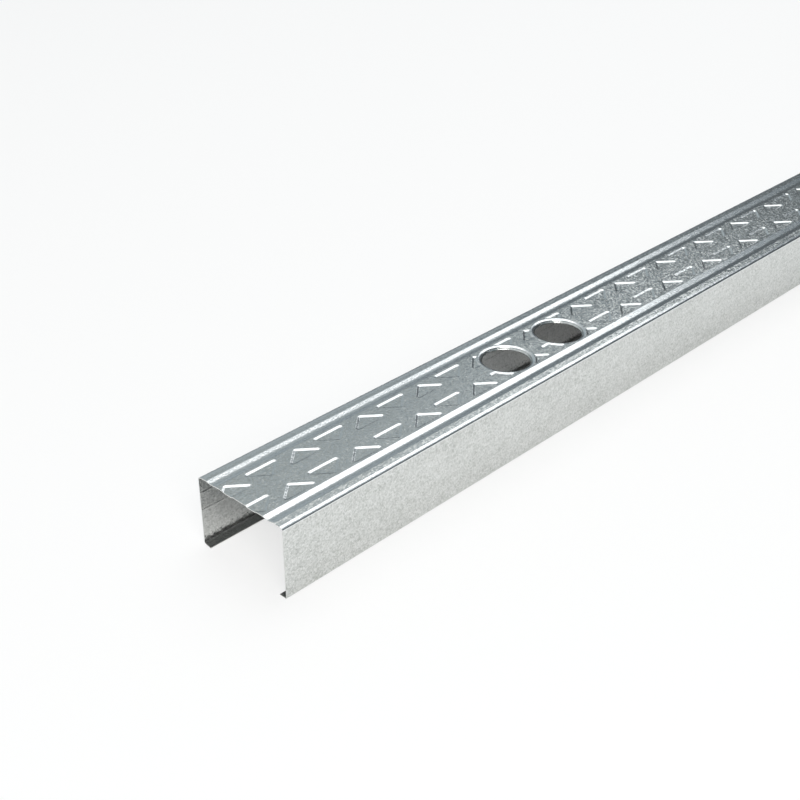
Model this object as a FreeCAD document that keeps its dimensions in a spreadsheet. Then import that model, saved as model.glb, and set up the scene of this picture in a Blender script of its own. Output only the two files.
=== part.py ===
# Galvanised steel wall stud: one strip of thin sheet, roll-formed into a lipped channel.
# It lies with its web up. X runs along the stud, Y across it and Z up from the floor.
# The origin is on the floor, under the middle of the stud. All sizes are in millimetres.
import FreeCAD, Part
import math
import os

import Sketcher
from FreeCAD import Placement, Rotation, Vector

SIZES = [
    ("stud_length", 4000, "end to end"),
    ("web_width", 75, "over both flanges"),
    ("flange_height", 50, "floor to the web's face"),
    ("sheet_thickness", 0.6, "zinc-coated sheet"),
    ("fold_radius", 1.2, "outside of the folds between web and flanges"),
    ("lip_width", 6, "lip at each flange's foot, turned in"),
    ("lip_radius", 1.2, "outside of the folds between flanges and lips"),
    ("rear_lip_slope", 12, "degrees that the rear lip dips, so that its edge touches the floor"),
    ("web_groove_inset", 12.2, "flange face to the middle of the web's groove"),
    ("web_groove_width", 10, "mouth of the groove"),
    ("web_groove_depth", 0.6, "depth of the groove"),
    ("shoulder_slope", 20, "degrees that the web dips where it meets the fold"),
    ("flange_groove_pitch", 12.4, "web face to the first groove, and groove to groove"),
    ("flange_groove_width", 2.4, "mouth of the groove"),
    ("flange_groove_depth", 0.3, "depth of the groove"),
    ("flange_groove_count", 3, "grooves in each flange"),
    ("hole_diameter", 33, "clear width of a service hole"),
    ("hole_pitch", 57, "middle to middle of the two holes of a pair"),
    ("pair_inset", 264, "stud's end to the middle of the outer pairs"),
    ("collar_diameter", 39, "outer edge of the rolled collar"),
    ("collar_slope", 25, "degrees that the collar dips towards its wall"),
    ("collar_depth", 2.6, "web's face to the collar's free edge"),
    ("emboss_inset", 3.9, "stud's end to the middle of the first embossed triangle"),
    ("emboss_pitch", 54.4, "triangle to the next one that points the same way"),
    ("emboss_base", 32, "base of a triangle"),
    ("emboss_height", 13.6, "base to apex"),
    ("emboss_gap", 11.2, "between the two rows of triangles"),
    ("emboss_depth", 0.6, "depth of a triangle's floor"),
    ("emboss_flank", 1.5, "width of a triangle's sloping side"),
]

doc = FreeCAD.newDocument("steel_stud")

# Spreadsheet of driving dimensions
sheet = doc.addObject("Spreadsheet::Sheet", "sizes")
for row, (alias, value, meaning) in enumerate(SIZES, start=1):
    sheet.set(f"A{row}", alias)
    sheet.set(f"B{row}", str(value))
    sheet.set(f"C{row}", meaning)
    sheet.setAlias(f"B{row}", alias)
doc.recompute()

# Lengths worked out from the driving dimensions, as expressions
HALF_WEB = "sizes.web_width / 2"
HOLE_RADIUS = "sizes.hole_diameter / 2"
COLLAR_RADIUS = "sizes.collar_diameter / 2"
WEB_UNDERSIDE = "(sizes.flange_height - sizes.sheet_thickness)"
FLANK_LENGTH = "sqrt(sizes.emboss_flank ^ 2 + sizes.emboss_depth ^ 2)"
TRIANGLE_SIDE = "sqrt(sizes.emboss_height ^ 2 + sizes.emboss_base ^ 2 / 4)"
SHOULDER_WIDTH = "(sizes.web_groove_inset - sizes.web_groove_width / 2)"
FOLD_RUN = "(sizes.fold_radius * (1 - sin(sizes.shoulder_slope)))"
SHOULDER_RADIUS = f"(({SHOULDER_WIDTH} - {FOLD_RUN}) / sin(sizes.shoulder_slope))"
SHOULDER_DIP = f"({SHOULDER_RADIUS} * (1 - cos(sizes.shoulder_slope)))"


def plane_of(body, role):
    """The body's own origin plane or axis with this role."""
    return [feature for feature in body.Origin.OriginFeatures if feature.Role == role][0]


def sketch_in(body, name, role, offset=None):
    """A sketch on one of the body's origin planes, moved by three expressions."""
    sketch = body.newObject("Sketcher::SketchObject", name)
    sketch.AttachmentSupport = [(plane_of(body, role), "")]
    sketch.MapMode = "FlatFace"
    for axis, length in zip("xyz", offset or ()):
        if length:
            sketch.setExpression(f"AttachmentOffset.Base.{axis}", length)
    return sketch


def bind(sketch, constraint, expression):
    """Adds a driving constraint and ties its value to the spreadsheet."""
    index = sketch.addConstraint(constraint)
    sketch.setExpression(f"Constraints[{index}]", expression)


def arc_between(start, end, radius, turn):
    """The short arc that leaves start to the left or right and meets end."""
    chord = end - start
    side = Vector(-chord.y, chord.x, 0).normalize()
    if turn == "right":
        side = side * -1
    centre = start + chord * 0.5 + side * math.sqrt(radius ** 2 - chord.Length ** 2 / 4)
    first, last = (start, end) if turn == "left" else (end, start)
    from_angle = math.atan2(first.y - centre.y, first.x - centre.x)
    to_angle = math.atan2(last.y - centre.y, last.x - centre.x)
    if to_angle < from_angle:
        to_angle += 2 * math.pi
    return Part.ArcOfCircle(Part.Circle(centre, Vector(0, 0, 1), radius), from_angle, to_angle)


def draw_line(sketch, corners, bends, closed=False):
    """Draws a run of edges through corners, each a pair of expressions.

    A bend is None for a straight edge, or the way the arc turns and its radius.
    """
    points = [Vector(sketch.evalExpression(x), sketch.evalExpression(y), 0) for x, y in corners]
    edges = []
    for number, bend in enumerate(bends):
        start, end = points[number], points[(number + 1) % len(points)]
        if bend is None:
            geometry = sketch.addGeometry(Part.LineSegment(start, end))
            edges.append((geometry, 1, 2))
            continue
        turn, radius = bend
        arc = arc_between(start, end, sketch.evalExpression(radius), turn)
        geometry = sketch.addGeometry(arc)
        edges.append((geometry, 1, 2) if turn == "left" else (geometry, 2, 1))
        bind(sketch, Sketcher.Constraint("Radius", geometry, arc.Radius), radius)
    for before, after in zip(edges, edges[1:] + edges[:1] if closed else edges[1:]):
        sketch.addConstraint(Sketcher.Constraint("Coincident", before[0], before[2], after[0], after[1]))
    for number, (across, up) in enumerate(corners):
        geometry, vertex = (edges[number][0], edges[number][1]) if number < len(edges) else (
            edges[-1][0], edges[-1][2])
        point = points[number]
        bind(sketch, Sketcher.Constraint("DistanceX", geometry, vertex, point.x), across)
        bind(sketch, Sketcher.Constraint("DistanceY", geometry, vertex, point.y), up)


def groove(width, depth, place):
    """Corners and bends of a soft groove; place turns (along, into the sheet) into a corner."""
    corners = [
        place(f"(-{width} / 2)", "0"),
        place(f"(-{width} / 4)", f"{depth} / 2"),
        place(f"{width} / 4", f"{depth} / 2"),
        place(f"{width} / 2", "0"),
    ]
    radius = f"({width} ^ 2 / 16 + {depth} ^ 2 / 4) / {depth}"
    return corners, [("left", radius), ("right", radius), ("left", radius)]


def half_section(side, lip_slope):
    """The sheet's outer face from the web to one lip's edge; side is -1 front or 1 rear."""
    def on_web(along, into):
        return (f"{side} * ({HALF_WEB} - sizes.web_groove_inset + {along})",
                f"sizes.flange_height - {into}")

    def on_flange(number):
        def place(along, into):
            return (f"{side} * ({HALF_WEB} - {into})",
                    f"sizes.flange_height - {number} * sizes.flange_groove_pitch - {along}")
        return place

    corners, bends = groove("sizes.web_groove_width", "sizes.web_groove_depth", on_web)
    corners += [
        (f"{side} * ({HALF_WEB} - {FOLD_RUN})", f"sizes.flange_height - {SHOULDER_DIP}"),
        (f"{side} * {HALF_WEB}",
         f"sizes.flange_height - {SHOULDER_DIP} - sizes.fold_radius * cos(sizes.shoulder_slope)"),
    ]
    bends += [("left", SHOULDER_RADIUS), ("left", "sizes.fold_radius"), None]
    for number in range(1, int(sheet.flange_groove_count) + 1):
        groove_corners, groove_bends = groove(
            "sizes.flange_groove_width", "sizes.flange_groove_depth", on_flange(number))
        corners += groove_corners
        bends += groove_bends + [None]
    foot = f"sizes.lip_width * sin({lip_slope})"
    tangent = f"sizes.lip_radius * tan((90 - {lip_slope}) / 2)"
    corners += [
        (f"{side} * {HALF_WEB}", f"{foot} + {tangent}"),
        (f"{side} * ({HALF_WEB} - {tangent} * cos({lip_slope}))",
         f"{foot} - {tangent} * sin({lip_slope})"),
        (f"{side} * ({HALF_WEB} - sizes.lip_width * cos({lip_slope}))", "0"),
    ]
    bends += [("left", "sizes.lip_radius"), None]
    return corners, bends


# Channel: the outer face's line from lip to lip, thickened inwards and run along the stud
section_line = doc.addObject("Sketcher::SketchObject", "section_line")
section_line.Placement = Placement(Vector(0, 0, 0), Rotation(Vector(1, 1, 1), 120))
front_corners, front_bends = half_section("-1", "0")
rear_corners, rear_bends = half_section("1", "sizes.rear_lip_slope")
draw_line(section_line, rear_corners[::-1] + front_corners, rear_bends[::-1] + [None] + front_bends)

section = doc.addObject("Part::Offset2D", "section")
section.Source = section_line
section.Mode = "Skin"
section.Fill = True
section.setExpression("Value", "-sizes.sheet_thickness")

channel = doc.addObject("Part::Extrusion", "channel")
channel.Base = section
channel.DirMode = "Normal"
channel.Solid = True
channel.Symmetric = True
channel.setExpression("LengthFwd", "sizes.stud_length")


def pattern_pairs(body, feature):
    """Repeats a feature of the first service hole at every hole of the three pairs."""
    transform = body.newObject("PartDesign::MultiTransform", feature.Name + "_pairs")
    transform.Originals = [feature]
    steps = []
    for name, count, step in (
        ("in_pair", 2, "sizes.hole_pitch"),
        ("pair", 3, "sizes.stud_length / 2 - sizes.pair_inset"),
    ):
        pattern = body.newObject("PartDesign::LinearPattern", f"{feature.Name}_{name}")
        pattern.Direction = (plane_of(body, "X_Axis"), [""])
        pattern.Mode = "Spacing"
        pattern.Occurrences = count
        pattern.setExpression("Offset", step)
        steps.append(pattern)
    transform.Transformations = steps
    body.Tip = transform
    return transform


FIRST_HOLE = "sizes.pair_inset - sizes.hole_pitch / 2 - sizes.stud_length / 2"


def service_discs(name, radius):
    """A disc through the web at every service hole."""
    body = doc.addObject("PartDesign::Body", name)
    sketch = sketch_in(body, name + "_circle", "XY_Plane", (FIRST_HOLE, None, "sizes.flange_height"))
    circle = Part.Circle(Vector(0, 0, 0), Vector(0, 0, 1), sketch.evalExpression(radius))
    geometry = sketch.addGeometry(circle)
    sketch.addConstraint(Sketcher.Constraint("Coincident", geometry, 3, -1, 1))
    bind(sketch, Sketcher.Constraint("Radius", geometry, circle.Radius), radius)
    disc = body.newObject("PartDesign::Pad", name + "_disc")
    disc.Profile = sketch
    disc.Midplane = True
    disc.setExpression("Length", "4 * (sizes.sheet_thickness + sizes.emboss_depth)")
    pattern_pairs(body, disc)
    return body


# Blanks that the service holes' collars are rolled from, and wider ones that keep off the embossing
blanks = service_discs("blanks", COLLAR_RADIUS)
wide_blanks = service_discs("wide_blanks", f"{COLLAR_RADIUS} + sizes.sheet_thickness")

# Collars: the rim of each service hole, rolled inwards
collars = doc.addObject("PartDesign::Body", "collars")
collar_section = sketch_in(collars, "collar_section", "XZ_Plane", (FIRST_HOLE, None, None))
wall_top = f"sizes.flange_height - ({COLLAR_RADIUS} - {HOLE_RADIUS}) * tan(sizes.collar_slope)"
wall_back = f"{HOLE_RADIUS} + sizes.sheet_thickness"
back_top = (f"sizes.flange_height - ({COLLAR_RADIUS} - ({wall_back})) * tan(sizes.collar_slope)"
            " - sizes.sheet_thickness / cos(sizes.collar_slope)")
wall_edge = "sizes.flange_height - sizes.collar_depth"
rim = [
    (COLLAR_RADIUS, "sizes.flange_height"),
    (HOLE_RADIUS, wall_top),
    (HOLE_RADIUS, wall_edge),
    (wall_back, wall_edge),
    (wall_back, back_top),
    (COLLAR_RADIUS, WEB_UNDERSIDE),
]
draw_line(collar_section, rim, [None] * len(rim), closed=True)
collar = collars.newObject("PartDesign::Revolution", "collar")
collar.Profile = collar_section
collar.ReferenceAxis = (collar_section, ["V_Axis"])
collar.Angle = 360
pattern_pairs(collars, collar)


def triangle(base_edge, apex_edge, centre, grow):
    """Corners of an embossed triangle, each side moved out by grow."""
    toward_apex = f"({apex_edge} - ({base_edge})) / sizes.emboss_height"
    base = f"{base_edge} - {toward_apex} * {grow}"
    apex = f"{apex_edge} + {toward_apex} * {grow} * {TRIANGLE_SIDE} * 2 / sizes.emboss_base"
    spread = (f"(sizes.emboss_base / 2 + {grow}"
              f" * ({TRIANGLE_SIDE} + sizes.emboss_base / 2) / sizes.emboss_height)")
    return [(f"{centre} - {spread}", base), (f"{centre} + {spread}", base), (centre, apex)]


def embossing(name, top, depth, grow):
    """Every embossed triangle as a block that tapers down from top."""
    body = doc.addObject("PartDesign::Body", name)
    outline = sketch_in(body, name + "_triangles", "XY_Plane", (None, None, top))
    inner = "sizes.emboss_gap / 2"
    outer = "(sizes.emboss_gap / 2 + sizes.emboss_height)"
    first = "(sizes.emboss_inset - sizes.stud_length / 2)"
    straight = [None, None, None]
    draw_line(outline, triangle(inner, outer, first, grow), straight, closed=True)
    second = f"{first} + sizes.emboss_pitch / 2"
    draw_line(outline, triangle(outer, inner, second, grow), straight, closed=True)
    pad = body.newObject("PartDesign::Pad", name + "_pair")
    pad.Profile = outline
    pad.Reversed = True
    pad.setExpression("Length", depth)
    doc.recompute()

    flanks = [f"Face{number}" for number, face in enumerate(pad.Shape.Faces, start=1)
              if abs(face.normalAt(0, 0).z) < 0.5]
    tops = [f"Face{number}" for number, face in enumerate(pad.Shape.Faces, start=1)
            if face.normalAt(0, 0).z > 0.5]
    draft = body.newObject("PartDesign::Draft", name + "_flanks")
    draft.Base = (pad, flanks)
    draft.NeutralPlane = (pad, tops[:1])
    draft.Reversed = True
    draft.setExpression("Angle", "atan(sizes.emboss_flank / sizes.emboss_depth)")
    doc.recompute()

    rows = body.newObject("PartDesign::MultiTransform", name + "_rows")
    rows.TransformMode = "Whole shape"
    mirror = body.newObject("PartDesign::Mirrored", name + "_mirror")
    mirror.MirrorPlane = (plane_of(body, "XZ_Plane"), [""])
    along = body.newObject("PartDesign::LinearPattern", name + "_along")
    along.Direction = (plane_of(body, "X_Axis"), [""])
    along.Mode = "Spacing"
    along.setExpression("Offset", "sizes.emboss_pitch")
    along.setExpression(
        "Occurrences", "ceil((sizes.stud_length - sizes.emboss_inset) / sizes.emboss_pitch)")
    rows.Transformations = [mirror, along]
    body.Tip = rows
    return body


# Embossing: the blocks' backs stand out under the web and their faces are pressed into it
half_sheet = "sizes.sheet_thickness / 2"
backs = embossing(
    "embossing_backs",
    f"sizes.flange_height - {half_sheet}",
    f"sizes.emboss_depth + {half_sheet}",
    f"((sizes.sheet_thickness * {FLANK_LENGTH} - {half_sheet} * sizes.emboss_flank)"
    " / sizes.emboss_depth)")
faces = embossing("embossing_faces", "sizes.flange_height", "sizes.emboss_depth", "0")


def combine(kind, name, base, tool):
    """A boolean of two objects."""
    result = doc.addObject(kind, name)
    result.Base = base
    result.Tool = tool
    result.Refine = False
    return result


# Stud: the channel gets the embossing's backs, its service holes, their collars and the faces
shear = doc.addObject("Part::Box", "shear")
shear.setExpression("Length", "sizes.stud_length")
shear.setExpression("Width", "2 * sizes.web_width")
shear.setExpression("Height", "2 * sizes.flange_height")
shear.setExpression("Placement.Base.x", "-sizes.stud_length / 2")
shear.setExpression("Placement.Base.y", "-sizes.web_width")
shear.setExpression("Placement.Base.z", "-sizes.flange_height / 2")

sheared_backs = combine("Part::Common", "sheared_backs", backs, shear)
backed = combine("Part::Fuse", "backed_channel", channel, sheared_backs)
punched = combine("Part::Cut", "punched_channel", backed, blanks)
collared = combine("Part::Fuse", "collared_channel", punched, collars)
clear_faces = combine("Part::Cut", "clear_faces", faces, wide_blanks)
stud = combine("Part::Cut", "stud", collared, clear_faces)
doc.recompute()

# Checks, then one STEP file for the one piece
for feature in doc.Objects:
    if "Invalid" in feature.State or "Error" in feature.State:
        raise RuntimeError(f"{feature.Name} failed: {feature.State}")
shape = stud.Shape
if shape.isNull() or not shape.isValid() or len(shape.Solids) != 1:
    raise RuntimeError("stud isn't one valid solid")
os.makedirs("parts", exist_ok=True)
shape.Solids[0].exportStep(f"parts/{stud.Label}.step")
box = shape.BoundBox
print(f"{stud.Label}: {box.XLength:.2f} x {box.YLength:.2f} x {box.ZLength:.2f} mm,"
      f" {shape.Volume / 1000:.1f} cm3, {len(shape.Faces)} faces")
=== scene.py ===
import math

import bpy
import numpy as np
from mathutils import Matrix, Vector
from mathutils.geometry import delaunay_2d_cdt


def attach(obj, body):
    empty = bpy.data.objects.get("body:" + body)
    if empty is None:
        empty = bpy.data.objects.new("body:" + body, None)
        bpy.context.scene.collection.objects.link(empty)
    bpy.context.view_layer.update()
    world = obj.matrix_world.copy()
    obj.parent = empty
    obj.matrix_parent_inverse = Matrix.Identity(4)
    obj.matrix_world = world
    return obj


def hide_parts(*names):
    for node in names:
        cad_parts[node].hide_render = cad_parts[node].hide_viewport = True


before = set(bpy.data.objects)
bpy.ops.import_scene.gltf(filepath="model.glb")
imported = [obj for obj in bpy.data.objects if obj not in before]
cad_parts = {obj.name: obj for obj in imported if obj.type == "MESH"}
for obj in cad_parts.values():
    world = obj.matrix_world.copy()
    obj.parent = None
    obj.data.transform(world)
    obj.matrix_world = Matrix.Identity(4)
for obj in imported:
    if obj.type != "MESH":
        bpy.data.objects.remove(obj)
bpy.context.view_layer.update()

# Sheet: the stud is one strip of 0.6 mm galvanised steel that rollers bend into a channel.
# The same rollers press a wide groove into each side of the web and three narrow ones into
# each flange. All lengths of the sheet are in millimetres and go to metres at the end.
length, web_width, height = 4000.0, 75.0, 50.0
half = length / 2
thickness, fold_radius = 0.6, 1.2
lip_width, rear_lip_slope = 6.0, 12.0
flat_band = 20.3  # half the web's width between its grooves
web_groove_half = 5.0
shoulder_width = 7.2  # from a web groove's mouth to the flange's face
flange_groove_count, flange_groove_pitch = 3, 12.4
flange_groove_width, flange_groove_depth = 2.4, 0.1
rubbed_strip = 0.4  # straight strip of the flange under the fold

# How much each place is lightened towards bright steel and made glossier, from 0 to 1: partly
# roller polish, partly a painted highlight on folds, bends and sloping flanks
flank_rub, bottom_rub, shoulder_rub, fold_rub, lip_rub, inside_rub = 0.8, 0.5, 0.7, 1.0, 0.6, 0.15

zinc_slot, cut_slot = 0, 1


class Sheet:
    """Vertices, shading normals and faces of the sheet's surfaces, collected patch by patch."""

    def __init__(self):
        self.points, self.normals, self.rub, self.faces, self.slots = [], [], [], [], []
        self.count = 0

    def patch(self, points, normals, faces, rub=None, slot=zinc_slot):
        points = np.asarray(points, float)
        self.points.append(points)
        self.normals.append(np.asarray(normals, float))
        self.rub.append(np.zeros(len(points)) if rub is None else np.asarray(rub, float))
        self.faces.extend(tuple(self.count + corner for corner in face) for face in faces)
        self.slots.extend([slot] * len(faces))
        self.count += len(points)

    def grid(self, rows, row_normals, rub=None, slot=zinc_slot, closed=False):
        """A patch from rows of points; the faces look to the left of the first row's run."""
        rows, row_normals = np.asarray(rows, float), np.asarray(row_normals, float)
        down, across = rows.shape[:2]
        last = across if closed else across - 1
        faces = [(i * across + j, (i + 1) * across + j,
                  (i + 1) * across + (j + 1) % across, i * across + (j + 1) % across)
                 for i in range(down - 1) for j in range(last)]
        shade = None if rub is None else np.asarray(rub, float).reshape(-1)
        self.patch(rows.reshape(-1, 3), row_normals.reshape(-1, 3), faces, shade, slot)


def walk(start, heading, steps):
    """Follows straight steps (length,) or (length, rub) and bends (radius, degrees, parts, rub).

    Gives the points, the headings there and how much each is polished and lightened as a painted
    highlight.
    """
    across, up = start
    line = [(across, up, heading, 0.0)]
    for step in steps:
        if len(step) < 3:
            across += step[0] * math.cos(math.radians(heading))
            up += step[0] * math.sin(math.radians(heading))
            line.append((across, up, heading, step[-1] if len(step) == 2 else 0.0))
            continue
        radius, turn, parts, rub = step
        side = math.copysign(1, turn)
        middle_across = across - side * radius * math.sin(math.radians(heading))
        middle_up = up + side * radius * math.cos(math.radians(heading))
        for part in range(1, parts + 1):
            angle = heading + turn * part / parts
            line.append((middle_across + side * radius * math.sin(math.radians(angle)),
                         middle_up - side * radius * math.cos(math.radians(angle)),
                         angle, rub))
        across, up, heading = line[-1][:3]
    return np.array(line)


def outward(line):
    """Unit normals out of the sheet's outer face, across and up."""
    angle = np.radians(line[:, 2])
    return np.stack([np.sin(angle), -np.cos(angle)], axis=1)


def web_groove(slope, mouth_radius, bottom_radius):
    """Steps across a web groove: soft mouths and bottom, and straight flanks in two halves."""
    flank_run = web_groove_half - (mouth_radius + bottom_radius) * math.sin(math.radians(slope))
    half_flank = (flank_run / math.cos(math.radians(slope)) / 2, flank_rub)
    # Groove flanks and bottom are lightened: roller polish and painted highlight
    return [(mouth_radius, slope, 3, flank_rub), half_flank, half_flank,
            (bottom_radius, -2 * slope, 6, bottom_rub), half_flank, half_flank,
            (mouth_radius, slope, 3, 0.0)]


# Each shoulder of the web dips gently beside the groove, then bends down to meet the fold
groove_side, fold_side = 3, 34
crease_radius, shoulder_flat = 0.001, 4.2
gentle, steep = math.radians(groove_side), math.radians(fold_side)
shoulder_rest = shoulder_width - shoulder_flat - fold_radius * (1 - math.sin(steep))
shoulder_radius = shoulder_rest / (math.sin(steep) - math.sin(gentle))
shoulder_dip = (shoulder_flat * math.tan(gentle)
                + shoulder_radius * (math.cos(gentle) - math.cos(steep)))
# The shoulder's bend and the fold are lightened: roller polish and painted highlight
shoulder = [
    (crease_radius, groove_side, 1, 0.0), (shoulder_flat / math.cos(gentle),),
    (shoulder_radius, fold_side - groove_side, 8, shoulder_rub)]
fold = (fold_radius, 90 - fold_side, 9, fold_rub)
flange_top = (flange_groove_pitch - flange_groove_width / 2 - rubbed_strip
              - shoulder_dip - fold_radius * math.cos(steep))
flange_foot = height - flange_groove_count * flange_groove_pitch - flange_groove_width / 2


def flange():
    """Steps up a flange from just above its lip to just below the fold at the web."""
    radius = (flange_groove_width ** 2 / 16 + flange_groove_depth ** 2 / 4) / flange_groove_depth
    angle = math.degrees(math.asin(flange_groove_width / 4 / radius))
    groove = [(radius, angle, 3, 0.0), (radius, -2 * angle, 6, 0.0), (radius, angle, 3, 0.0)]
    between = flange_groove_pitch - flange_groove_width
    steps = []
    for straight in [between] * (flange_groove_count - 1) + [flange_top]:
        steps += groove + [(straight,)]
    return steps


lip_slope = math.radians(rear_lip_slope)
rear_tangent = fold_radius * math.tan(math.radians((90 - rear_lip_slope) / 2))
rear_line = walk(
    (web_width / 2 - lip_width * math.cos(lip_slope), 0.0), rear_lip_slope,
    [(lip_width - rear_tangent,), (fold_radius, 90 - rear_lip_slope, 6, lip_rub),
     (flange_foot - lip_width * math.sin(lip_slope) - rear_tangent,)]
    + flange() + [(rubbed_strip, fold_rub), fold] + shoulder[::-1]
    + web_groove(slope=9, mouth_radius=7.0, bottom_radius=10.0))
front_line = walk(
    (-flat_band, height), 180.0,
    web_groove(slope=10, mouth_radius=3.0, bottom_radius=6.0) + shoulder
    + [fold, (rubbed_strip,)] + flange()[::-1]
    + [(flange_foot - fold_radius,), (fold_radius, 90, 6, lip_rub), (lip_width - fold_radius,)])

sheet = Sheet()
stations = np.linspace(-half, half, 49)
for line in (rear_line, front_line):
    out = outward(line)
    outer_line, inner_line = line[:, :2], line[:, :2] - thickness * out
    for profile, sign in ((outer_line, 1), (inner_line, -1)):
        rows = [[(x, across, up) for x in stations] for across, up in profile]
        normals = [[(0, sign * a, sign * u)] * len(stations) for a, u in out]
        rub = line[:, 3:] if sign > 0 else np.full((len(line), 1), inside_rub)
        rub = np.repeat(rub, len(stations), axis=1)
        if sign < 0:
            rows, normals, rub = rows[::-1], normals[::-1], rub[::-1]
        sheet.grid(rows, normals, rub)
    for x, end in ((-half, -1), (half, 1)):
        outer = [(x, across, up) for across, up in outer_line]
        inner = [(x, across, up) for across, up in inner_line]
        rows = [inner, outer] if end > 0 else [outer, inner]
        sheet.grid(rows, [[(end, 0, 0)] * len(outer)] * 2, slot=cut_slot)

# Free edges of the two lips
for line, place, way in ((rear_line, 0, -1), (front_line, -1, 1)):
    across, up, angle = line[place, :3]
    out = outward(line)[place]
    edge_normal = (0, way * math.cos(math.radians(angle)), way * math.sin(math.radians(angle)))
    outer = [(x, across, up) for x in stations]
    inner = [(x, across - thickness * out[0], up - thickness * out[1]) for x in stations]
    rows = [inner, outer] if way < 0 else [outer, inner]
    sheet.grid(rows, [[edge_normal] * len(stations)] * 2, slot=cut_slot)

# Web between the grooves: a roller embosses two rows of triangles that point in and out by
# turns, with soft flanks. Near a service hole the punch has pressed them flat again. The
# surface is worked out at every point, so its normals follow it exactly.
triangle_pitch, first_triangle = 27.2, 3.9 - half
triangle_base, triangle_height, row_gap = 32.0, 13.6, 11.2
press_depth, flank_width, corner_radius = 0.6, 1.9, 2.2
flank_rings = (0, 0.12, 0.25, 0.5, 0.75, 0.88, 1.0)  # as shares of the flank's width
pair_inset, hole_pitch = 264.0, 57.0
collar_radius, hole_sides = 19.7, 64
fade_rings = (0.0, 0.4, 0.8, 1.2, 1.6)  # from the collar out to where the triangles are whole
holes = [pair + side * hole_pitch / 2
         for pair in (pair_inset - half, 0.0, half - pair_inset) for side in (-1, 1)]


def triangle(kind):
    """Corners of a triangle about its middle; kind 0 has its base towards the web's middle line."""
    inner, outer = row_gap / 2, row_gap / 2 + triangle_height
    if kind == 0:
        return [(-triangle_base / 2, inner), (triangle_base / 2, inner), (0.0, outer)]
    return [(triangle_base / 2, outer), (-triangle_base / 2, outer), (0.0, inner)]


def corner_centres(kind):
    """Centres of the triangle's rounded corners, and the angles where each one starts and ends."""
    corners = [Vector(c) for c in triangle(kind)]
    centres = []
    for before, here, after in zip(
            corners[-1:] + corners[:-1], corners, corners[1:] + corners[:1]):
        come, leave = (here - before).normalized(), (after - here).normalized()
        out_come, out_leave = Vector((come.y, -come.x)), Vector((leave.y, -leave.x))
        between = (out_come + out_leave).normalized()
        centres.append((here - between * (corner_radius / between.dot(out_come)),
                        math.atan2(out_come.y, out_come.x), math.atan2(out_leave.y, out_leave.x)))
    return centres


def ring(kind, inset):
    """The triangle's rounded outline, moved in by inset."""
    parts = 4
    points = []
    for centre, start, end in corner_centres(kind):
        end += 2 * math.pi if end < start else 0
        for part in range(parts + 1):
            angle = start + (end - start) * part / parts
            points.append((centre.x + (corner_radius - inset) * math.cos(angle),
                           centre.y + (corner_radius - inset) * math.sin(angle)))
    return points


def distance_in(points, kind):
    """How far inside the rounded triangle each point is; points are about its middle."""
    centres = np.array([centre[:] for centre, _, _ in corner_centres(kind)])
    nearest = np.full(len(points), np.inf)
    inside = np.ones(len(points), bool)
    for start, end in zip(centres, np.roll(centres, -1, axis=0)):
        along, to_point = end - start, points - start
        part = np.clip(to_point @ along / (along @ along), 0, 1)
        nearest = np.minimum(nearest, np.hypot(*(to_point - part[:, None] * along).T))
        inside &= along[0] * to_point[:, 1] - along[1] * to_point[:, 0] > 0
    return corner_radius + np.where(inside, nearest, -nearest)


def soft_step(t):
    """From 0 to 1 with a straight middle and a rounded start and end."""
    bend = 0.25
    t = np.clip(t, 0, 1)
    low = np.minimum(t, 1 - t)
    part = np.where(low < bend, low ** 2 / (2 * bend * (1 - bend)), (low - bend / 2) / (1 - bend))
    return np.where(t < 0.5, part, 1 - part)


def pressed(points):
    """Depth of the embossing at each point of the web."""
    deepest = np.zeros(len(points))
    nearest_number = np.round((points[:, 0] - first_triangle) / triangle_pitch).astype(int)
    for shift in (-1, 0, 1):
        number = nearest_number + shift
        along = points[:, 0] - first_triangle - triangle_pitch * number
        about = np.stack([along, np.abs(points[:, 1])], axis=1)
        for kind in (0, 1):
            here = soft_step(distance_in(about, kind) / flank_width)
            deepest = np.maximum(deepest, np.where(number % 2 == kind, here, 0))
    for hole in holes:
        away = np.hypot(points[:, 0] - hole, points[:, 1]) - collar_radius
        deepest *= soft_step(away / fade_rings[-1])
    return press_depth * deepest


knit_points, knit_lines = [], []


def closed_line(points):
    """Adds a closed outline that the web's faces have to follow."""
    start = len(knit_points)
    knit_points.extend(Vector(p) for p in points)
    knit_lines.extend((start + i, start + (i + 1) % len(points)) for i in range(len(points)))


across_end = list(np.linspace(-flat_band, flat_band, 13))[1:-1]
along_side = list(np.linspace(-half, half, 295))
closed_line([(x, -flat_band) for x in along_side] + [(half, y) for y in across_end]
            + [(x, flat_band) for x in along_side[::-1]] + [(-half, y) for y in across_end[::-1]])
triangle_count = math.ceil((half - first_triangle + triangle_base / 2) / triangle_pitch)
for number in range(triangle_count):
    middle = first_triangle + triangle_pitch * number
    for share in flank_rings:
        outline = ring(number % 2, share * flank_width)
        for row in (1, -1):
            closed_line([(middle + x, row * y) for x, y in outline][::row])
for hole in holes:
    for further in fade_rings:
        closed_line([(hole + (collar_radius + further) * math.cos(2 * math.pi * i / hole_sides),
                      (collar_radius + further) * math.sin(2 * math.pi * i / hole_sides))
                     for i in range(hole_sides)])
knit = delaunay_2d_cdt(knit_points, knit_lines, [], 0, 1e-5)
web = np.array([p[:] for p in knit[0]])
web_faces = np.array([face for face in knit[2] if len(face) == 3])

# The faces inside the holes and past the ends go
middles = web[web_faces].mean(axis=1)
keep = (np.abs(middles[:, 0]) < half) & (np.abs(middles[:, 1]) < flat_band)
hole_edge = collar_radius * math.cos(math.pi / hole_sides) - 0.01
for hole in holes:
    keep &= np.hypot(middles[:, 0] - hole, middles[:, 1]) > hole_edge
used, web_faces = np.unique(web_faces[keep], return_inverse=True)
web, web_faces = web[used], web_faces.reshape(-1, 3)

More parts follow.
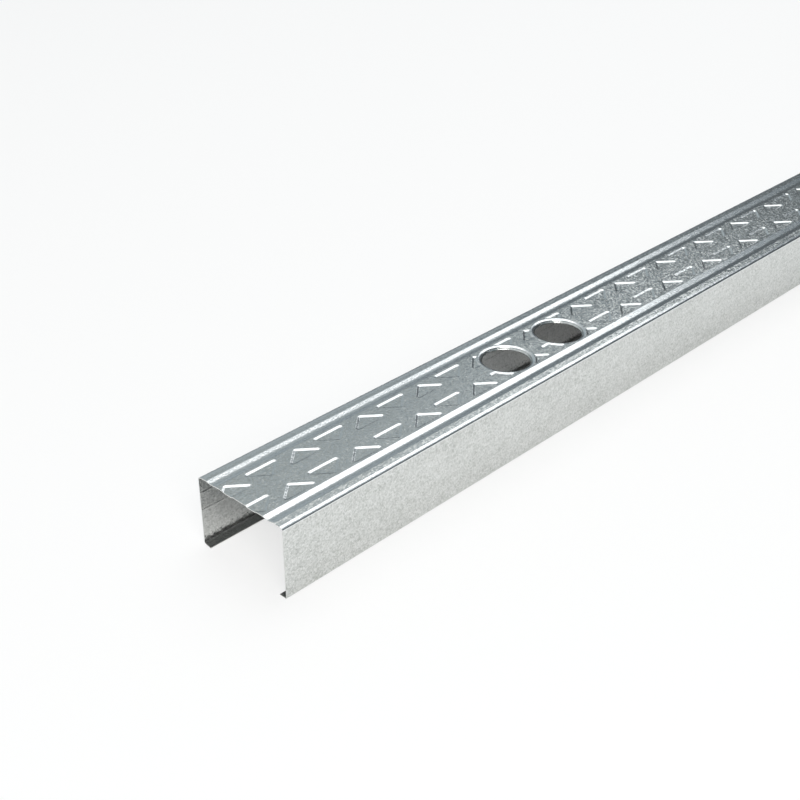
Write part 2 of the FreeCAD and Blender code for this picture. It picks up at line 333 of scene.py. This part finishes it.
step = 0.02
slope_x = (pressed(web + (step, 0)) - pressed(web - (step, 0))) / (2 * step)
slope_y = (pressed(web + (0, step)) - pressed(web - (0, step))) / (2 * step)
web_normals = np.stack([slope_x, slope_y, np.ones(len(web))], axis=1)
web_normals /= np.linalg.norm(web_normals, axis=1)[:, None]
web_points = np.column_stack([web, height - pressed(web)])
snap = 0.001
into_sheet = web_normals.copy()
into_sheet[np.abs(np.abs(web[:, 0]) - half) < snap, 0] = 0
web_backs = web_points - thickness * into_sheet
# Embossed flanks are lightened by their slope: partly roller polish, partly a painted highlight
steepest_rub, full_slope = 0.6, 0.25
web_rub = steepest_rub * np.clip(np.hypot(slope_x, slope_y) / full_slope, 0, 1)
sheet.patch(web_points, web_normals, web_faces.tolist(), web_rub)
sheet.patch(web_backs, -web_normals, web_faces[:, ::-1].tolist())
for x, end in ((-half, -1), (half, 1)):
    rim = np.where(np.abs(web[:, 0] - x) < snap)[0]
    rim = rim[np.argsort(-web[rim, 1])]
    rows = [web_backs[rim], web_points[rim]] if end > 0 else [web_points[rim], web_backs[rim]]
    sheet.grid(rows, [[(end, 0, 0)] * len(rim)] * 2, slot=cut_slot)

# Service holes: each is punched and its rim rolled inwards through the web, which leaves a
# smooth collar that keeps cables off the cut edge. There are three pairs along the stud.
# Collar mouth and bead are lightened in their last number: roller polish and painted highlight
mouth, bead = (4.0, 28, 6, 0.9), (0.8, 42, 4, 0.5)
ledge, ledge_slope = (0.5, -25, 3, 0.0), (0.833,)
wall_bend, wall = (0.65, 45, 4, 0.0), (0.33,)
rim_line = walk(
    (collar_radius, height), 180.0, [mouth, bead, (0.15,), ledge, ledge_slope, wall_bend, wall])
rim_out = outward(rim_line)
rim_inner = rim_line[:, :2] - thickness * rim_out
turns = -np.radians(np.arange(hole_sides) * 360 / hole_sides)


def turned(hole, profile):
    """Rows of points from a profile of (radius, height) turned round a hole's middle."""
    return [[(hole + r * math.cos(t), r * math.sin(t), up) for t in turns] for r, up in profile]


for hole in holes:
    for sign, profile in ((1, rim_line[:, :2]), (-1, rim_inner)):
        rows = turned(hole, profile)
        normals = [[(sign * a * math.cos(t), sign * a * math.sin(t), sign * u) for t in turns]
                   for a, u in rim_out]
        rub = np.repeat(rim_line[:, 3:] if sign > 0 else 0 * rim_line[:, 3:], hole_sides, axis=1)
        if sign < 0:
            rows, normals, rub = rows[::-1], normals[::-1], rub[::-1]
        sheet.grid(rows, normals, rub, closed=True)
    rows = turned(hole, (rim_line[-1, :2], rim_inner[-1]))
    sheet.grid(rows, [[(0, 0, -1)] * hole_sides] * 2, slot=cut_slot, closed=True)

# The patches become one mesh in metres that shades by the normals worked out above
mesh = bpy.data.meshes.new("steel_stud")
mesh.from_pydata((np.concatenate(sheet.points) / 1000).tolist(), [], sheet.faces)
mesh.polygons.foreach_set("material_index", sheet.slots)
mesh.polygons.foreach_set("use_smooth", [True] * len(mesh.polygons))
# Per-point polish and painted highlight, read by the zinc's colour
rubbed = mesh.attributes.new("rubbed", "FLOAT", "POINT")
rubbed.data.foreach_set("value", np.concatenate(sheet.rub))
mesh.normals_split_custom_set_from_vertices(np.concatenate(sheet.normals).tolist())
stud = bpy.data.objects.new("steel_stud", mesh)
bpy.context.collection.objects.link(stud)


def nodes_of(material):
    """A material's node tree, its shader and a way to add nodes with their values."""
    material.use_nodes = True
    tree = material.node_tree
    shader = tree.nodes["Principled BSDF"]

    def add(kind, **values):
        node = tree.nodes.new(kind)
        for name, value in values.items():
            if hasattr(node, name):
                setattr(node, name, value)
            else:
                node.inputs[name].default_value = value
        return node
    return tree, shader, add


def ramp(tree, source, stops):
    """A colour ramp on source; stops are (place, grey or colour)."""
    node = tree.nodes.new("ShaderNodeValToRGB")
    elements = node.color_ramp.elements
    elements[0].position, elements[1].position = stops[0][0], stops[-1][0]
    for place, _ in stops[1:-1]:
        elements.new(place)
    for element, (_, colour) in zip(elements, stops):
        element.color = (*colour, 1) if isinstance(colour, tuple) else (colour, colour, colour, 1)
    tree.links.new(source, node.inputs[0])
    return node.outputs[0]


def mixed(tree, kind, factor, first, second):
    """Mixes two colours; each of the three is a value or a socket."""
    node = tree.nodes.new("ShaderNodeMix")
    node.data_type, node.blend_type = "RGBA", kind
    sockets = node.inputs[0], node.inputs[6], node.inputs[7]
    for socket, value in zip(sockets, (factor, first, second)):
        if isinstance(value, (int, float, tuple)):
            socket.default_value = value
        else:
            tree.links.new(value, socket)
    return node.outputs[2]


# Zinc face: hot-dip zinc that the rollers have flattened, cool grey with a fine grain, a faint
# spangle, drawn marks along the stud, and brighter folds and flanks: roller polish and painted
# highlight.
zinc = bpy.data.materials.new("galvanised_zinc")
tree, shader, add = nodes_of(zinc)
place = add("ShaderNodeTexCoord").outputs["Object"]
drawn = add("ShaderNodeMapping")
drawn.inputs["Scale"].default_value = (7, 380, 380)
tree.links.new(place, drawn.inputs[0])
grain = add("ShaderNodeTexNoise", Scale=700.0, Detail=2.0, Roughness=0.6)
spangle = add("ShaderNodeTexVoronoi", Scale=200.0)
facets = add("ShaderNodeTexVoronoi", Scale=1000.0)
marks = add("ShaderNodeTexNoise", Scale=1.0, Detail=4.0, Roughness=0.6)
clouds = add("ShaderNodeTexNoise", Scale=22.0, Detail=4.0, Roughness=0.55)
polish_sheen_fac = add("ShaderNodeAttribute", attribute_name="rubbed").outputs["Fac"]
for node in (grain, spangle, facets, clouds):
    tree.links.new(place, node.inputs["Vector"])
tree.links.new(drawn.outputs[0], marks.inputs["Vector"])

colour = ramp(tree, grain.outputs["Fac"], [
    (0.32, (0.6, 0.61, 0.6)), (0.5, (0.66, 0.67, 0.66)), (0.68, (0.72, 0.73, 0.72))])
for source, strength, stops in (
    (spangle.outputs["Color"], 0.5, [(0.0, 0.42), (1.0, 0.58)]),
    (facets.outputs["Color"], 0.8, [(0.1, 0.28), (0.9, 0.72)]),
    (marks.outputs["Fac"], 0.5, [(0.3, 0.42), (0.7, 0.58)]),
    (clouds.outputs["Fac"], 0.6, [(0.3, 0.44), (0.7, 0.56)]),
):
    colour = mixed(tree, "OVERLAY", strength, colour, ramp(tree, source, stops))
# Painted highlight and polish: the mask lightens the zinc towards bright steel
colour = mixed(tree, "MIX", polish_sheen_fac, colour, (0.82, 0.83, 0.84, 1))
tree.links.new(colour, shader.inputs["Base Color"])
shader.inputs["Metallic"].default_value = 1.0
dull = ramp(tree, grain.outputs["Fac"], [(0.3, 0.25), (0.7, 0.19)])
dull = mixed(tree, "MIX", polish_sheen_fac, dull, (0.18, 0.18, 0.18, 1))
tree.links.new(dull, shader.inputs["Roughness"])

# The zinc's small facets tilt at random, less under the polish and painted highlight; grain and
# marks lie on them
facet_tilt = 0.17
spread = add("ShaderNodeVectorMath", operation="SUBTRACT")
spread.inputs[1].default_value = (0.5, 0.5, 0.5)
unrubbed = add("ShaderNodeMath", operation="MULTIPLY_ADD")
unrubbed.inputs[1].default_value, unrubbed.inputs[2].default_value = -facet_tilt, facet_tilt
tilted = add("ShaderNodeVectorMath", operation="SCALE")
surface = add("ShaderNodeNewGeometry").outputs["Normal"]
facing = add("ShaderNodeVectorMath", operation="ADD")
level = add("ShaderNodeVectorMath", operation="NORMALIZE")
fine = add("ShaderNodeBump", Strength=1.0, Distance=0.00008)
drawn_lines = add("ShaderNodeBump", Strength=0.2, Distance=0.00005)
for source, target in (
    (facets.outputs["Color"], spread.inputs[0]), (polish_sheen_fac, unrubbed.inputs[0]),
    (spread.outputs[0], tilted.inputs[0]), (unrubbed.outputs[0], tilted.inputs["Scale"]),
    (tilted.outputs[0], facing.inputs[0]), (surface, facing.inputs[1]),
    (facing.outputs[0], level.inputs[0]), (level.outputs[0], fine.inputs["Normal"]),
    (grain.outputs["Fac"], fine.inputs["Height"]), (fine.outputs[0], drawn_lines.inputs["Normal"]),
    (marks.outputs["Fac"], drawn_lines.inputs["Height"]),
    (drawn_lines.outputs[0], shader.inputs["Normal"]),
):
    tree.links.new(source, target)

# Cut edge: bare bright steel where the shears cut the strip's ends and long edges and the
# punch cut the holes, with fine burr lines.
cut = bpy.data.materials.new("cut_steel_edge")
tree, shader, add = nodes_of(cut)
burr = add("ShaderNodeTexNoise", Scale=3000.0, Detail=2.0)
tree.links.new(add("ShaderNodeTexCoord").outputs["Object"], burr.inputs["Vector"])
bright = ramp(tree, burr.outputs["Fac"], [(0.3, (0.62, 0.62, 0.61)), (0.7, (0.86, 0.86, 0.85))])
tree.links.new(bright, shader.inputs["Base Color"])
shader.inputs["Metallic"].default_value = 1.0
dull = ramp(tree, burr.outputs["Fac"], [(0.3, 0.5), (0.7, 0.36)])
tree.links.new(dull, shader.inputs["Roughness"])
torn = add("ShaderNodeBump", Strength=0.4, Distance=0.00005)
tree.links.new(burr.outputs["Fac"], torn.inputs["Height"])
tree.links.new(torn.outputs[0], shader.inputs["Normal"])

mesh.materials.append(zinc)
mesh.materials.append(cut)
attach(stud, "root")
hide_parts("stud")

# Floor: a plain pale studio sweep that the stud lies on and that its faces mirror. It is
# nearly white to the camera and keeps the stud's soft shadow.
reach = 9
floor_mesh = bpy.data.meshes.new("floor")
floor_mesh.from_pydata(
    [(-reach, -reach, 0), (reach, -reach, 0), (reach, reach, 0), (-reach, reach, 0)],
    [], [(0, 1, 2, 3)])
floor = bpy.data.objects.new("floor", floor_mesh)
bpy.context.collection.objects.link(floor)
paper = bpy.data.materials.new("studio_paper")
tree, shader, add = nodes_of(paper)
shader.inputs["Base Color"].default_value = (0.9, 0.9, 0.9, 1)
shader.inputs["Roughness"].default_value = 0.9
shader.inputs["Specular IOR Level"].default_value = 0.1
glow = add("ShaderNodeEmission", Color=(1, 1, 1, 1), Strength=1.0)
ray = add("ShaderNodeLightPath")
mirrored = add("ShaderNodeMath", operation="ADD")
mirror_share, camera_share = 0.12, 0.7
mirror_part = add("ShaderNodeMath", operation="MULTIPLY")
mirror_part.inputs[1].default_value = mirror_share
white_part = add("ShaderNodeMath", operation="MULTIPLY_ADD")
white_part.inputs[1].default_value = camera_share
blend = add("ShaderNodeMixShader")
for source, target in (
    (ray.outputs["Is Glossy Ray"], mirrored.inputs[0]),
    (ray.outputs["Is Transmission Ray"], mirrored.inputs[1]),
    (mirrored.outputs[0], mirror_part.inputs[0]),
    (ray.outputs["Is Camera Ray"], white_part.inputs[0]),
    (mirror_part.outputs[0], white_part.inputs[2]), (white_part.outputs[0], blend.inputs["Fac"]),
    (shader.outputs[0], blend.inputs[1]), (glow.outputs[0], blend.inputs[2]),
    (blend.outputs[0], tree.nodes["Material Output"].inputs["Surface"]),
):
    tree.links.new(source, target)
floor_mesh.materials.append(paper)

# Light: a soft room that is brightest above and behind the stud and looks pale, a wide lamp
# overhead, one before the stud for its flange, and a small one behind its far half.
scene = bpy.context.scene
world = bpy.data.worlds.new("studio")
scene.world = world
world.use_nodes = True
tree = world.node_tree
up_and_back = tree.nodes.new("ShaderNodeVectorMath")
up_and_back.operation = "DOT_PRODUCT"
up_and_back.inputs[1].default_value = (-0.25, 0.35, 0.9)
tree.links.new(tree.nodes.new("ShaderNodeTexCoord").outputs["Generated"], up_and_back.inputs[0])
room = ramp(tree, up_and_back.outputs["Value"], [
    (0.0, (0.085, 0.095, 0.1)), (0.2, (0.09, 0.105, 0.112)), (0.27, (0.115, 0.138, 0.155)),
    (0.36, (0.25, 0.295, 0.32)), (0.45, (0.42, 0.48, 0.505)), (0.6, (0.38, 0.43, 0.445)),
    (0.8, (0.6, 0.64, 0.65)), (1.0, (0.8, 0.83, 0.84))])
ray = tree.nodes.new("ShaderNodeLightPath")
room = mixed(tree, "MIX", ray.outputs["Is Camera Ray"], room, (0.9, 0.9, 0.9, 1))
tree.links.new(room, tree.nodes["Background"].inputs["Color"])
neutral, warm = (1.0, 1.0, 1.0), (1.0, 0.97, 0.92)
for name, place, aim, size, watts, tint in (
    ("overhead", (-0.4, 0.55, 2.2), (-0.4, 0.55, 0.0), (3.2, 1.7), 21.5, neutral),
    ("front", (-3.0, -1.5, 1.4), (-1.9, 0.0, 0.0), (1.3, 1.3), 38.0, warm),
    ("rear", (1.2, 1.65, 2.2), (1.2, 1.65, 0.0), (1.2, 0.4), 2.0, neutral),
):
    lamp = bpy.data.lights.new(name, "AREA")
    lamp.shape = "RECTANGLE"
    lamp.size, lamp.size_y = size
    lamp.energy = watts
    lamp.color = tint
    lamp_object = bpy.data.objects.new(name, lamp)
    lamp_object.location = place
    lamp_object.rotation_euler = (
        (Vector(aim) - Vector(place)).to_track_quat("-Z", "Y").to_euler())
    bpy.context.collection.objects.link(lamp_object)

# Camera: close to the near end, above the front flange, looking along the stud to its far
# end, as in the photo. The focal length was first found in the photo's pixels.
focal_pixels, picture_pixels, sensor_width = 1285, 800, 36
turn, drop, roll = -45.72, 30.39, -0.21
camera_data = bpy.data.cameras.new("camera")
camera_data.sensor_width = sensor_width
camera_data.lens = focal_pixels / picture_pixels * sensor_width
camera_data.clip_start, camera_data.clip_end = 0.01, 50
camera = bpy.data.objects.new("camera", camera_data)
camera.location = (-2.3661, -0.4852, 0.4687)
camera.rotation_euler = (
    Matrix.Rotation(math.radians(turn), 3, "Z") @ Matrix.Rotation(math.radians(90 - drop), 3, "X")
    @ Matrix.Rotation(math.radians(roll), 3, "Z")).to_euler()
bpy.context.collection.objects.link(camera)
scene.camera = camera
scene.view_settings.view_transform = "Standard"
